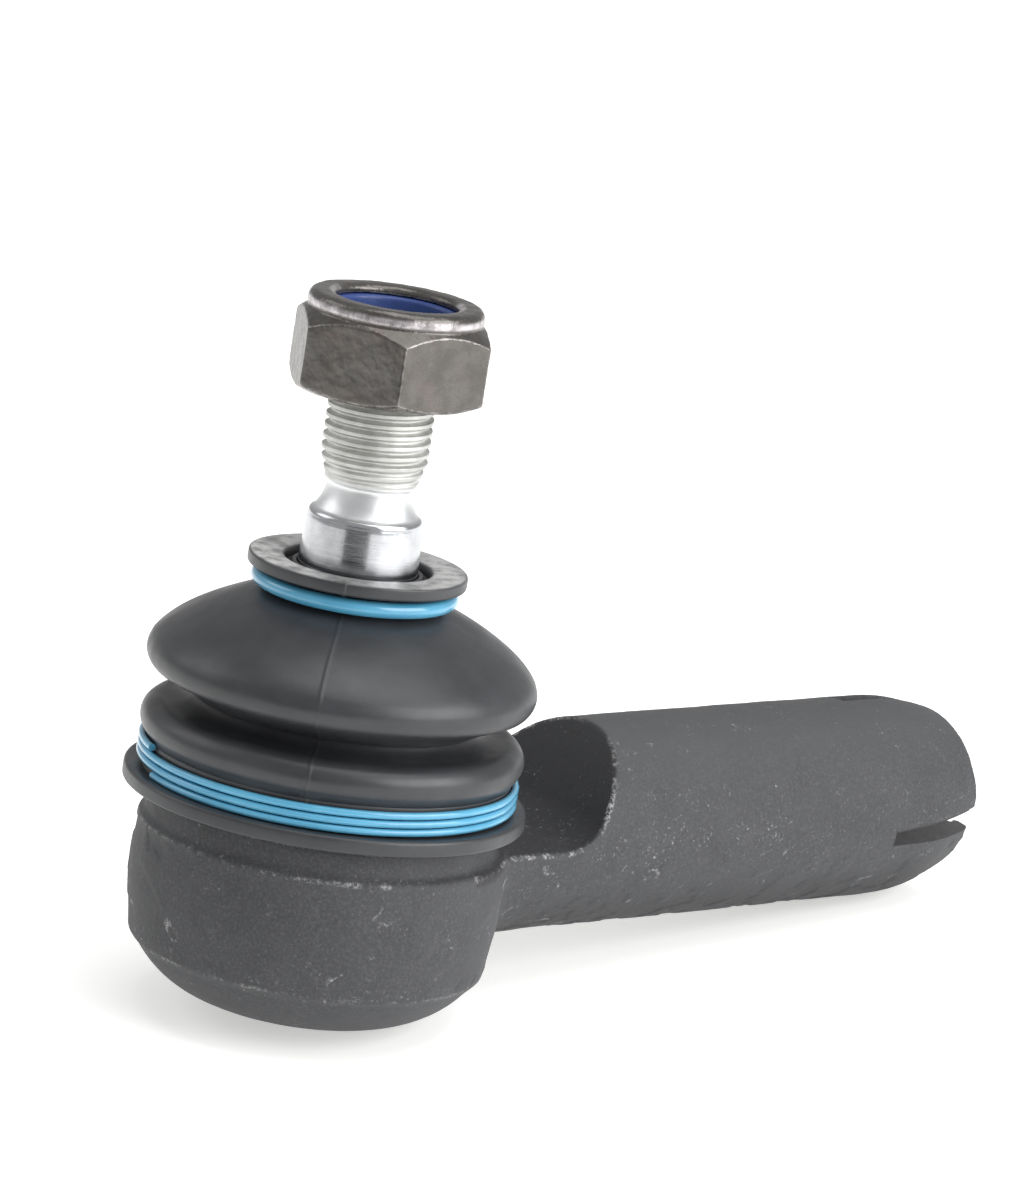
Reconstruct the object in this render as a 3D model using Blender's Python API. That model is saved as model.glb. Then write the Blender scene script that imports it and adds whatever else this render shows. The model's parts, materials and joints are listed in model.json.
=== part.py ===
"""Tie rod end: a ball stud in a forged housing, whose internally threaded sleeve is slotted for clamping.

Frame: the origin is where the stud's axis meets the housing's flat base, +Z runs up the stud, +X along the
sleeve.
Every length is in metres.
"""

import math

import bmesh
import bpy
from mathutils import Matrix

MM = 0.001
GAP = 0.3 * MM  # clearance between pieces that touch or slide on each other

# Ball joint
BALL_R = 9.5 * MM
BALL_Z = 15.7 * MM  # the ball's centre, on the sleeve's axis
SEAT_WALL = 2.1 * MM
SEAT_TOP_Z = 20.3 * MM
SEAT_R = BALL_R + GAP + SEAT_WALL
BORE_R = SEAT_R + GAP
BORE_FLOOR_Z = 3.8 * MM
BORE_CHAMFER = 1.2 * MM
SEAT_OPENING_R = 5.4 * MM
SEAT_BOTTOM_Z = 5.9 * MM
SEAT_SPLIT = 1.5  # degrees from the ball's equator to each half seat
BALL_FLAT_R = 3.2 * MM
CLOSING_RING_THICKNESS = 2.0 * MM
CLOSING_RING_INNER_R = 9.2 * MM
CLOSING_RING_CHAMFER = 0.6 * MM
ROLLED_LIP_R = 10.9 * MM

# Forged housing: a drafted bowl, set a little towards the sleeve, under a turned neck and collar
FORGING_SHIFT = 0.55 * MM
BASE_R = 8.0 * MM
BOWL_EDGE_R = 16.85 * MM
BOWL_EDGE_Z = 5.5 * MM
BOWL_ROUND = (13.4 * MM, 0.7 * MM)  # radius and height that the bowl's round heads for
WALL_R = 17.55 * MM
WALL_LOW_Z = 10.5 * MM
WALL_HIGH_Z = 13.0 * MM
TRIM_R = 17.35 * MM
TRIM_Z = 16.7 * MM
TRIM_CHAMFER = 0.25 * MM
NECK_R = 16.4 * MM
SHOULDER_Z = 19.7 * MM
COLLAR_R = 15.3 * MM
COLLAR_TOP_Z = 24.0 * MM
COLLAR_CHAMFER = 0.8 * MM

# Threaded sleeve
SLEEVE_R = 10.08 * MM
SLEEVE_START_X = 8.0 * MM
SLEEVE_END_X = 81.5 * MM
SLEEVE_END_R = 8.7 * MM
SLEEVE_TAPER_X = 73.5 * MM
SLEEVE_TAPER_ROUND = 3.0 * MM
THREAD_MINOR_R = 6.2 * MM  # an M14 x 1.5 internal thread, made plain at its minor radius
SLEEVE_BORE_START_X = 36.5 * MM
DRILL_POINT = 3.6 * MM
MOUTH_CHAMFER = 1.0 * MM
SLOT_START_X = 68.7 * MM
SLOT_WIDTH = 1.75 * MM
SLOT_ANGLES = (8.0, 84.5)  # degrees about +X from +Y, one for each saw cut

# Scoop that clears the bellows, turned about the stud's axis
SCOOP_FLOOR_Z = 16.15 * MM
SCOOP_FLOOR_R = 25.5 * MM
SCOOP_ROUND_R = 4.2 * MM
SCOOP_WALL_TOP_R = 32.9 * MM

# Ball stud, with an M10 x 1 thread
STUD_NECK_R = 5.0 * MM
CONE_START_Z = 38.0 * MM
CONE_END_Z = 47.5 * MM
CONE_END_R = 5.36 * MM
CONE_SLOPE = 0.052  # growth of the radius towards the ball
SHOULDER_CHAMFER = 0.3 * MM
UNDERCUT_R = 4.0 * MM
UNDERCUT_LOW_Z = 49.9 * MM
UNDERCUT_HIGH_Z = 50.3 * MM
THREAD_R = 5.0 * MM
THREAD_ROOT_R = 4.39 * MM
PITCH = 1.0 * MM
THREAD_START_Z = 50.9 * MM
THREAD_TURNS = 12
STUD_END_Z = 64.6 * MM
STUD_END_R = 3.8 * MM
STUD_END_CHAMFER = 0.5 * MM

# Bellows boot and its two rings
LIP_R = 18.94 * MM
LIP_BOTTOM_Z = SHOULDER_Z + GAP
LIP_TOP_Z = 21.25 * MM
LOWER_GROOVE_R = 16.9 * MM
LOWER_GROOVE_TOP_Z = 24.2 * MM
LOWER_BULGE_R = 18.0 * MM
LOWER_BULGE_Z = 26.05 * MM
LOWER_BULGE_ROUND_R = 1.8 * MM
WAIST_R = 13.5 * MM
WAIST_Z = 28.7 * MM
BULGE_R = 18.3 * MM
BULGE_Z = 32.6 * MM
SHOULDER_END_R = 9.4 * MM
SHOULDER_END_Z = 39.2 * MM
BOOT_WALL = 1.6 * MM
MOUTH_R = 6.0 * MM
TOP_LIP_R = 10.24 * MM
TOP_LIP_BOTTOM_Z = 41.65 * MM
BOOT_TOP_Z = 42.9 * MM
WIRE_R = 0.36 * MM
WIRE_PITCH = 0.8 * MM
WIRE_TURNS = 3
WIRE_COIL_R = 17.63 * MM
WIRE_START_Z = 21.7 * MM
UPPER_RING_R = 0.76 * MM
UPPER_RING_COIL_R = 8.98 * MM
UPPER_RING_Z = 40.55 * MM

# Self-locking nut, 17 mm across flats
NUT_BOTTOM_Z = 58.8 * MM
NUT_TOP_Z = 67.9 * MM
NUT_FLATS_R = 8.5 * MM
NUT_CORNER_R = NUT_FLATS_R / math.cos(math.radians(30))
NUT_CLOCKING = -4.32  # degrees about +Z
NUT_BORE_R = 5.15 * MM
NUT_FACE_R = 8.2 * MM
NUT_COLLAR_R = 8.2 * MM
NUT_SHOULDER_Z = 64.8 * MM  # where the hexagon's corners start to slope in
NUT_COLLAR_Z = 66.7 * MM
NUT_RIM_ROUND_R = 0.7 * MM
NUT_RIM_R = 5.7 * MM
INSERT_R = 6.6 * MM
INSERT_BOTTOM_Z = 65.2 * MM
INSERT_TOP_Z = 66.95 * MM

ROUND_SEGMENTS = 48
STUD_SEGMENTS = 32


def clear_scene():
    """Start from an empty scene."""
    for obj in list(bpy.data.objects):
        bpy.data.objects.remove(obj, do_unlink=True)


def make_material(name, colour, roughness, metallic=0.0):
    """One plain Principled material."""
    mat = bpy.data.materials.new(name)
    mat.use_nodes = True
    shader = mat.node_tree.nodes["Principled BSDF"]
    shader.inputs["Base Color"].default_value = (*colour, 1.0)
    shader.inputs["Roughness"].default_value = roughness
    shader.inputs["Metallic"].default_value = metallic
    return mat


def arc(centre, radius, start, end, steps):
    """Points along a circular arc, from start to end in degrees."""
    points = []
    for step in range(steps + 1):
        angle = math.radians(start + (end - start) * step / steps)
        points.append((centre[0] + radius * math.cos(angle), centre[1] + radius * math.sin(angle)))
    return points


def bend(start, control, end, steps):
    """Points along a quadratic curve that leaves and arrives heading for its control point."""
    points = []
    for step in range(steps + 1):
        t = step / steps
        weights = ((1 - t) ** 2, 2 * t * (1 - t), t * t)
        points.append(tuple(sum(w * p[i] for w, p in zip(weights, (start, control, end))) for i in (0, 1)))
    return points


def mesh_from(bm, name, smooth=True):
    """Close a bmesh into a mesh with its faces pointing out."""
    bmesh.ops.recalc_face_normals(bm, faces=bm.faces)
    mesh = bpy.data.meshes.new(name)
    bm.to_mesh(mesh)
    bm.free()
    if smooth:
        mesh.shade_smooth()
        mesh.set_sharp_from_angle(angle=math.radians(35))
    return mesh


def turned_mesh(name, outline, segments=ROUND_SEGMENTS):
    """Spin an outline of (radius, height) points once around Z; an edge on the axis is left out."""
    bm = bmesh.new()
    verts = [bm.verts.new((radius, 0.0, height)) for radius, height in outline]
    edges = []
    for index, vert in enumerate(verts):
        before = verts[index - 1]
        if vert.co.x > 0 or before.co.x > 0:
            edges.append(bm.edges.new((before, vert)))
    turn = {"cent": (0, 0, 0), "axis": (0, 0, 1), "angle": 2 * math.pi}
    bmesh.ops.spin(bm, geom=verts + edges, steps=segments, use_merge=True, **turn)
    bmesh.ops.remove_doubles(bm, verts=bm.verts, dist=0.0001 * MM)
    return mesh_from(bm, name)


def box_mesh(name, low, high):
    """A box between two corners."""
    bm = bmesh.new()
    bmesh.ops.create_cube(bm, size=1.0)
    for vert in bm.verts:
        vert.co = [low[i] if vert.co[i] < 0 else high[i] for i in range(3)]
    return mesh_from(bm, name, smooth=False)


def add_object(name, mesh, mat=None, parent=None):
    """Put a mesh in the scene under a parent, where it already is in world coordinates."""
    obj = bpy.data.objects.new(name, mesh)
    bpy.context.collection.objects.link(obj)
    if mat:
        obj.data.materials.append(mat)
    if parent:
        obj.parent = parent
        obj.matrix_parent_inverse = Matrix.Translation(-parent.location)
    return obj


def add_pivot(name, height):
    """An empty on the stud's axis that moving pieces hang from."""
    empty = bpy.data.objects.new(name, None)
    empty.empty_display_size = 5 * MM
    empty.location = (0, 0, height)
    bpy.context.collection.objects.link(empty)
    return empty


def add_tool(name, mesh):
    """A shape that only a Boolean uses."""
    tool = add_object(name, mesh)
    tool.hide_render = True
    tool.display_type = "WIRE"
    return tool


def combine(obj, tool, operation):
    """Join, cut or intersect one object with another."""
    modifier = obj.modifiers.new(operation.title() + " " + tool.name, "BOOLEAN")
    modifier.operation = operation
    modifier.solver = "EXACT"
    modifier.object = tool


def along_sleeve(mesh):
    """Turn a mesh made around Z so that it runs along the sleeve's axis."""
    mesh.transform(Matrix.Translation((0, 0, BALL_Z)) @ Matrix.Rotation(math.radians(90), 4, "Y"))
    return mesh


def sleeve_outline():
    """The forging's shank, from inside the bowl to its tapered end; heights run along the sleeve."""
    taper = bend(
        (SLEEVE_R, SLEEVE_TAPER_X),
        (SLEEVE_R, SLEEVE_TAPER_X + SLEEVE_TAPER_ROUND),
        (SLEEVE_END_R, SLEEVE_END_X),
        4,
    )
    return [(0, SLEEVE_START_X), (SLEEVE_R, SLEEVE_START_X), *taper, (0, SLEEVE_END_X)]


def scoop_outline():
    """Everything above the scoop: a flat floor, a rounded corner and a sloping wall."""
    top = BALL_Z + SLEEVE_R
    return [
        (0, SCOOP_FLOOR_Z),
        (SCOOP_FLOOR_R, SCOOP_FLOOR_Z),
        *arc((SCOOP_FLOOR_R, SCOOP_FLOOR_Z + SCOOP_ROUND_R), SCOOP_ROUND_R, -90, -27, 5),
        (SCOOP_WALL_TOP_R, top),
        (SCOOP_WALL_TOP_R + MM, top + 2 * MM),
        (0, top + 2 * MM),
    ]


def neck_outline():
    """The turned part of the forging: the collar that the boot clamps to, its shoulder and the neck."""
    return [
        (0, COLLAR_TOP_Z),
        (COLLAR_R - COLLAR_CHAMFER, COLLAR_TOP_Z),
        (COLLAR_R, COLLAR_TOP_Z - COLLAR_CHAMFER),
        (COLLAR_R, SHOULDER_Z),
        (NECK_R, SHOULDER_Z),
        (NECK_R, WALL_HIGH_Z),
        (0, WALL_HIGH_Z),
    ]


def bowl_outline():
    """The forged body, from its trimmed edge down the drafted wall and round to the flat base."""
    return [
        (0, TRIM_Z + TRIM_CHAMFER),
        (TRIM_R - TRIM_CHAMFER, TRIM_Z + TRIM_CHAMFER),
        (TRIM_R, TRIM_Z),
        (WALL_R, WALL_HIGH_Z),
        (WALL_R, WALL_LOW_Z),
        *bend((BOWL_EDGE_R, BOWL_EDGE_Z), BOWL_ROUND, (BASE_R, 0), 5),
        (0, 0),
    ]


def ball_bore_outline():
    """The pocket for the seats, narrowed at the top by the lip rolled over the closing ring."""
    lip_z = SEAT_TOP_Z + 2 * GAP + CLOSING_RING_THICKNESS
    above = COLLAR_TOP_Z + 5 * MM
    return [
        (0, above),
        (ROLLED_LIP_R, above),
        (ROLLED_LIP_R, lip_z),
        (BORE_R, lip_z),
        (BORE_R, BORE_FLOOR_Z + BORE_CHAMFER),
        (BORE_R - BORE_CHAMFER, BORE_FLOOR_Z),
        (0, BORE_FLOOR_Z),
    ]


def sleeve_bore_outline():
    """The threaded bore at its minor radius, with a drilled point and a chamfered mouth."""
    return [
        (0, SLEEVE_BORE_START_X - DRILL_POINT),
        (THREAD_MINOR_R, SLEEVE_BORE_START_X),
        (THREAD_MINOR_R, SLEEVE_END_X - MOUTH_CHAMFER),
        (THREAD_MINOR_R + 2 * MOUTH_CHAMFER, SLEEVE_END_X + MOUTH_CHAMFER),
        (0, SLEEVE_END_X + MOUTH_CHAMFER),
    ]


def slot_mesh(name, angle):
    """A saw cut right across the sleeve's end, turned about its axis by an angle in degrees."""
    half = SLOT_WIDTH / 2
    reach = 15 * MM
    mesh = box_mesh(name, (SLOT_START_X, -reach, -half), (SLEEVE_END_X + 5 * MM, reach, half))
    mesh.transform(Matrix.Translation((0, 0, BALL_Z)) @ Matrix.Rotation(math.radians(angle), 4, "X"))
    return mesh


def make_housing(mat):
    """The forged bowl and shank, bored for the ball and the tie rod, with four slots at its end."""
    housing = add_object("housing", turned_mesh("housing", neck_outline()), mat)
    bowl = turned_mesh("bowl_shape", bowl_outline())
    bowl.transform(Matrix.Translation((FORGING_SHIFT, 0, 0)))
    combine(housing, add_tool("bowl_shape", bowl), "UNION")
    shank = add_tool("shank_shape", along_sleeve(turned_mesh("shank_shape", sleeve_outline(), 40)))
    combine(shank, add_tool("scoop_cut", turned_mesh("scoop_cut", scoop_outline())), "DIFFERENCE")
    combine(housing, shank, "UNION")
    ball_bore = turned_mesh("ball_bore_cut", ball_bore_outline())
    combine(housing, add_tool("ball_bore_cut", ball_bore), "DIFFERENCE")
    bore = along_sleeve(turned_mesh("sleeve_bore_cut", sleeve_bore_outline(), 40))
    combine(housing, add_tool("sleeve_bore_cut", bore), "DIFFERENCE")
    for name, angle in zip(("slot_cut_across", "slot_cut_upright"), SLOT_ANGLES):
        combine(housing, add_tool(name, slot_mesh(name, angle)), "DIFFERENCE")
    return housing


def make_lower_seat(mat):
    """Lower half of the plastic seat, open at the bottom for grease."""
    inner_r = BALL_R + GAP
    opening = math.degrees(math.acos(SEAT_OPENING_R / inner_r))
    split_z = BALL_Z - inner_r * math.sin(math.radians(SEAT_SPLIT))
    outline = [
        *arc((0, BALL_Z), inner_r, -opening, -SEAT_SPLIT, 7),
        (SEAT_R, split_z),
        (SEAT_R, SEAT_BOTTOM_Z + BORE_CHAMFER),
        (SEAT_R - BORE_CHAMFER, SEAT_BOTTOM_Z),
        (SEAT_OPENING_R, SEAT_BOTTOM_Z),
    ]
    return add_object("lower_seat", turned_mesh("lower_seat", outline, 40), mat)


def make_upper_seat(mat):
    """Upper half of the plastic seat, which wraps over the ball."""
    inner_r = BALL_R + GAP
    wrap = math.degrees(math.asin((SEAT_TOP_Z - BALL_Z) / inner_r))
    split_z = BALL_Z + inner_r * math.sin(math.radians(SEAT_SPLIT))
    outline = [
        *arc((0, BALL_Z), inner_r, SEAT_SPLIT, wrap, 5),
        (SEAT_R, SEAT_TOP_Z),
        (SEAT_R, split_z),
    ]
    return add_object("upper_seat", turned_mesh("upper_seat", outline, 40), mat)


def make_preload_spring(mat):
    """Disc spring that presses the lower seat up against the ball."""
    outer_r = 10.6 * MM
    inner_r = 6.2 * MM
    thickness = 0.7 * MM
    rise = 0.8 * MM
    low = BORE_FLOOR_Z + GAP
    outline = [
        (inner_r, low + rise),
        (outer_r, low),
        (outer_r, low + thickness),
        (inner_r, low + rise + thickness),
    ]
    return add_object("preload_spring", turned_mesh("preload_spring", outline, 40), mat)


def make_closing_ring(mat):
    """Steel ring under the housing's rolled lip; its flared hole lets the stud swing."""
    low = SEAT_TOP_Z + GAP
    high = low + CLOSING_RING_THICKNESS
    outline = [
        (CLOSING_RING_INNER_R, low),
        (SEAT_R, low),
        (SEAT_R, high),
        (CLOSING_RING_INNER_R + CLOSING_RING_CHAMFER, high),
        (CLOSING_RING_INNER_R, high - CLOSING_RING_CHAMFER),
    ]
    return add_object("closing_ring", turned_mesh("closing_ring", outline), mat)


def ring_of(bm, radius, height):
    """Vertices evenly round the stud's axis."""
    step = 2 * math.pi / STUD_SEGMENTS
    return [
        bm.verts.new((radius * math.cos(step * i), radius * math.sin(step * i), height))
        for i in range(STUD_SEGMENTS)
    ]


def join_rings(bm, lower, upper):
    """Quads between two rings."""
    for i in range(STUD_SEGMENTS):
        k = (i + 1) % STUD_SEGMENTS
        bm.faces.new((lower[i], lower[k], upper[k], upper[i]))


def fan(bm, apex, chain):
    """Triangles from one vertex to each edge of a chain."""
    for first, second in zip(chain, chain[1:]):
        bm.faces.new((apex, first, second))


def thread_levels(bm):
    """Helical levels of the thread: a root and two crest edges to each pitch, fading in and out."""
    profile = ((0.0, 0.0), (0.42, 1.0), (0.58, 1.0))
    count = len(profile) * THREAD_TURNS
    levels = []
    for level in range(count + 1):
        turn, part = divmod(level, len(profile))
        fraction, height = profile[part]
        row = []
        for i in range(STUD_SEGMENTS):
            turns = turn + fraction + i / STUD_SEGMENTS
            fade = max(0.0, min(1.0, turns / 0.7, (THREAD_TURNS + 1 - turns) / 0.5))
            radius = THREAD_ROOT_R + (THREAD_R - THREAD_ROOT_R) * height * fade
            angle = 2 * math.pi * i / STUD_SEGMENTS
            z = THREAD_START_Z + PITCH * turns
            row.append(bm.verts.new((radius * math.cos(angle), radius * math.sin(angle), z)))
        levels.append(row)
    return levels, len(profile)


def add_thread(bm, lower, upper):
    """A right-hand thread between two plain rings, stepping up one pitch at each full turn."""
    levels, step = thread_levels(bm)
    last = STUD_SEGMENTS - 1
    top = len(levels) - 1
    for level in range(top):
        for i in range(last):
            row, above = levels[level], levels[level + 1]
            bm.faces.new((row[i], row[i + 1], above[i + 1], above[i]))
        if level + step < top:
            end, above_end = levels[level][last], levels[level + 1][last]
            start, above_start = levels[level + step][0], levels[level + step + 1][0]
            bm.faces.new((end, start, above_start, above_end))
    for i in range(last):
        bm.faces.new((lower[i], lower[i + 1], levels[0][i + 1], levels[0][i]))
        bm.faces.new((levels[top][i], levels[top][i + 1], upper[i + 1], upper[i]))
    fan(bm, levels[0][last], [lower[last], lower[0]] + [levels[k][0] for k in range(step + 1)])
    fan(bm, levels[top][0], [levels[k][last] for k in range(top - step, top + 1)] + [upper[last], upper[0]])


def stud_outline():
    """Ball, neck, tapered seat, shoulder and undercut, from the ball's underside up to the thread."""
    flat = math.degrees(math.acos(BALL_FLAT_R / BALL_R))
    neck = math.degrees(math.acos(STUD_NECK_R / BALL_R))
    neck_z = BALL_Z + math.sqrt(BALL_R**2 - STUD_NECK_R**2)
    cone_start_r = CONE_END_R + CONE_SLOPE * (CONE_END_Z - CONE_START_Z)
    relief = (UNDERCUT_R + 0.2 * MM, CONE_END_Z + 1.1 * MM)
    return [
        *arc((0, BALL_Z), BALL_R, -flat, neck - 4, 11),
        (STUD_NECK_R, neck_z + 0.9 * MM),
        (STUD_NECK_R, CONE_START_Z - 1.5 * MM),
        (cone_start_r, CONE_START_Z),
        (CONE_END_R, CONE_END_Z - SHOULDER_CHAMFER),
        (CONE_END_R - SHOULDER_CHAMFER, CONE_END_Z),
        *bend((CONE_END_R - 0.5 * MM, CONE_END_Z), relief, (UNDERCUT_R, UNDERCUT_LOW_Z), 3),
        (UNDERCUT_R, UNDERCUT_HIGH_Z),
        (THREAD_ROOT_R, THREAD_START_Z - 0.1 * MM),
    ]


def make_ball_stud(mat, parent):
    """The forged stud: ball, taper and thread in one piece."""
    bm = bmesh.new()
    rings = [ring_of(bm, radius, height) for radius, height in stud_outline()]
    for lower, upper in zip(rings, rings[1:]):
        join_rings(bm, lower, upper)
    bm.faces.new(rings[0])
    thread_end = ring_of(bm, THREAD_ROOT_R, STUD_END_Z - STUD_END_CHAMFER)
    add_thread(bm, rings[-1], thread_end)
    end_face = ring_of(bm, STUD_END_R, STUD_END_Z)
    join_rings(bm, thread_end, end_face)
    bm.faces.new(end_face)
    return add_object("ball_stud", mesh_from(bm, "ball_stud"), mat, parent)


def boot_outline():
    """The bellows, up its outside from the base lip and back down its inside."""
    groove_r = UPPER_RING_COIL_R - UPPER_RING_R - GAP
    outside = [
        (COLLAR_R + GAP, LIP_BOTTOM_Z),
        (LIP_R, LIP_BOTTOM_Z),
        (LIP_R, LIP_TOP_Z - 0.2 * MM),
        (LOWER_GROOVE_R, LIP_TOP_Z),
        (LOWER_GROOVE_R, LOWER_GROOVE_TOP_Z),
        *arc((LOWER_BULGE_R - LOWER_BULGE_ROUND_R, LOWER_BULGE_Z), LOWER_BULGE_ROUND_R, -48, 80, 5),
        *bend((16.1 * MM, 27.8 * MM), (WAIST_R + 0.5 * MM, 27.8 * MM), (WAIST_R, WAIST_Z), 2),
        *bend((WAIST_R + 0.4 * MM, WAIST_Z + 0.5 * MM), (BULGE_R, 30.4 * MM), (BULGE_R, BULGE_Z), 4),
        *bend((17.9 * MM, 33.9 * MM), (16.6 * MM, 36.0 * MM), (SHOULDER_END_R, SHOULDER_END_Z), 4),
        (groove_r, SHOULDER_END_Z + 0.3 * MM),
        (groove_r, TOP_LIP_BOTTOM_Z),
        (TOP_LIP_R, TOP_LIP_BOTTOM_Z),
        (TOP_LIP_R, BOOT_TOP_Z),
    ]
    inside = [
        (MOUTH_R, BOOT_TOP_Z),
        (MOUTH_R, SHOULDER_END_Z - 0.6 * MM),
        *bend((8.0 * MM, 38.0 * MM), (15.4 * MM, 35.0 * MM), (BULGE_R - BOOT_WALL, BULGE_Z), 4),
        (15.2 * MM, 31.3 * MM),
        (WAIST_R - BOOT_WALL, WAIST_Z + 0.2 * MM),
        (WAIST_R - BOOT_WALL, WAIST_Z - 0.6 * MM),
        (15.2 * MM, 26.6 * MM),
        (LOWER_BULGE_R - BOOT_WALL, LOWER_BULGE_Z),
        (COLLAR_R + GAP, LOWER_GROOVE_TOP_Z + 0.2 * MM),
    ]
    return outside + inside


def make_boot(mat, parent):
    """Rubber bellows that seals the joint."""
    return add_object("boot", turned_mesh("boot", boot_outline(), 40), mat, parent)


def make_lower_ring(mat, parent):
    """Three close turns of wire that clamp the boot's foot to the collar."""
    steps = 36
    curve = bpy.data.curves.new("boot_lower_ring", "CURVE")
    curve.dimensions = "3D"
    curve.bevel_depth = WIRE_R
    curve.bevel_resolution = 1
    curve.use_fill_caps = True
    spline = curve.splines.new("POLY")
    spline.points.add(steps * WIRE_TURNS - 1)
    for index, point in enumerate(spline.points):
        angle = math.pi + 2 * math.pi * index / steps
        height = WIRE_START_Z + WIRE_PITCH * index / steps
        point.co = (WIRE_COIL_R * math.cos(angle), WIRE_COIL_R * math.sin(angle), height, 1)
    return add_object("boot_lower_ring", curve, mat, parent)


def make_upper_ring(mat, parent):
    """Closed ring that holds the boot's top lip on the stud."""
    outline = arc((UPPER_RING_COIL_R, UPPER_RING_Z), UPPER_RING_R, 0, 315, 7)
    return add_object("boot_upper_ring", turned_mesh("boot_upper_ring", outline), mat, parent)


def nut_outline():
    """Section of the nut: chamfered outside, rolled rim, pocket for the insert and plain bore."""
    wide = NUT_CORNER_R + 0.3 * MM
    pocket_r = INSERT_R + GAP
    return [
        (NUT_BORE_R + 0.5 * MM, NUT_BOTTOM_Z),
        (NUT_FACE_R, NUT_BOTTOM_Z),
        (wide, NUT_BOTTOM_Z + 1.0 * MM),
        (wide, NUT_SHOULDER_Z),
        (NUT_COLLAR_R + 0.2 * MM, NUT_COLLAR_Z),
        (NUT_COLLAR_R, NUT_COLLAR_Z + 0.2 * MM),
        *arc((NUT_COLLAR_R - NUT_RIM_ROUND_R, NUT_TOP_Z - NUT_RIM_ROUND_R), NUT_RIM_ROUND_R, 10, 90, 3),
        (NUT_RIM_R + 0.5 * MM, NUT_TOP_Z),
        (NUT_RIM_R, NUT_TOP_Z - 0.3 * MM),
        (NUT_RIM_R, INSERT_TOP_Z + GAP),
        (pocket_r, INSERT_TOP_Z + GAP),
        (pocket_r, INSERT_BOTTOM_Z - GAP),
        (NUT_BORE_R, INSERT_BOTTOM_Z - GAP),
        (NUT_BORE_R, NUT_BOTTOM_Z + 0.5 * MM),
    ]


def hexagon_mesh(name):
    """A tall hexagonal prism around the nut."""
    bm = bmesh.new()
    bmesh.ops.create_cone(
        bm,
        cap_ends=True,
        segments=6,
        radius1=NUT_CORNER_R,
        radius2=NUT_CORNER_R,
        depth=NUT_TOP_Z - NUT_BOTTOM_Z + 6 * MM,
        matrix=Matrix.Translation((0, 0, (NUT_BOTTOM_Z + NUT_TOP_Z) / 2)),
    )
    first = bm.verts[:][0].co
    turn = math.radians(NUT_CLOCKING) - math.atan2(first.y, first.x)
    bmesh.ops.rotate(bm, verts=bm.verts, cent=(0, 0, 0), matrix=Matrix.Rotation(turn, 3, "Z"))
    return mesh_from(bm, name, smooth=False)


def make_lock_nut(mat, parent):
    """Hexagonal self-locking nut with its rim rolled over the insert."""
    nut = add_object("lock_nut", turned_mesh("lock_nut", nut_outline()), mat, parent)
    combine(nut, add_tool("hexagon_shape", hexagon_mesh("hexagon_shape")), "INTERSECT")
    return nut


def make_insert(mat, parent):
    """Nylon ring that grips the thread."""
    outline = [
        (NUT_BORE_R, INSERT_BOTTOM_Z),
        (INSERT_R, INSERT_BOTTOM_Z),
        (INSERT_R, INSERT_TOP_Z),
        (NUT_BORE_R + 0.3 * MM, INSERT_TOP_Z),
        (NUT_BORE_R, INSERT_TOP_Z - 0.3 * MM),
    ]
    return add_object("lock_nut_insert", turned_mesh("lock_nut_insert", outline, 40), mat, parent)


def build():
    """Make the whole joint."""
    clear_scene()
    forged = make_material("black_forging", (0.03, 0.03, 0.032), 0.6, 0.3)
    seat = make_material("seat_plastic", (0.75, 0.74, 0.70), 0.4)
    spring = make_material("spring_steel", (0.35, 0.35, 0.36), 0.4, 1.0)
    zinc = make_material("zinc_plated_steel", (0.72, 0.73, 0.75), 0.28, 1.0)
    rubber = make_material("black_rubber", (0.02, 0.02, 0.022), 0.5)
    blue = make_material("blue_coated_wire", (0.06, 0.36, 0.68), 0.35)
    nut = make_material("phosphated_steel", (0.22, 0.21, 0.20), 0.45, 1.0)
    nylon = make_material("blue_nylon", (0.03, 0.07, 0.32), 0.4)

    swing = add_pivot("ball_centre", BALL_Z)
    screw = add_pivot("nut_centre", NUT_BOTTOM_Z)

    make_housing(forged)
    make_lower_seat(seat)
    make_upper_seat(seat)
    make_preload_spring(spring)
    make_closing_ring(spring)
    make_ball_stud(zinc, swing)
    make_boot(rubber, swing)
    make_lower_ring(blue, swing)
    make_upper_ring(blue, swing)
    make_lock_nut(nut, screw)
    make_insert(nylon, screw)


build()
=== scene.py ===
"""Looks for a tie rod end: fine geometry with its own finishes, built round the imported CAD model.

Mesh code works in millimetres, and place() turns a finished piece into metres. The frame is the CAD
model's: the origin is where the stud's axis meets the flat base, +Z runs up the stud and +X along
the sleeve.
"""

import json
import math

import bmesh
import bpy
import numpy as np
from mathutils import Matrix, Vector, noise


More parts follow.
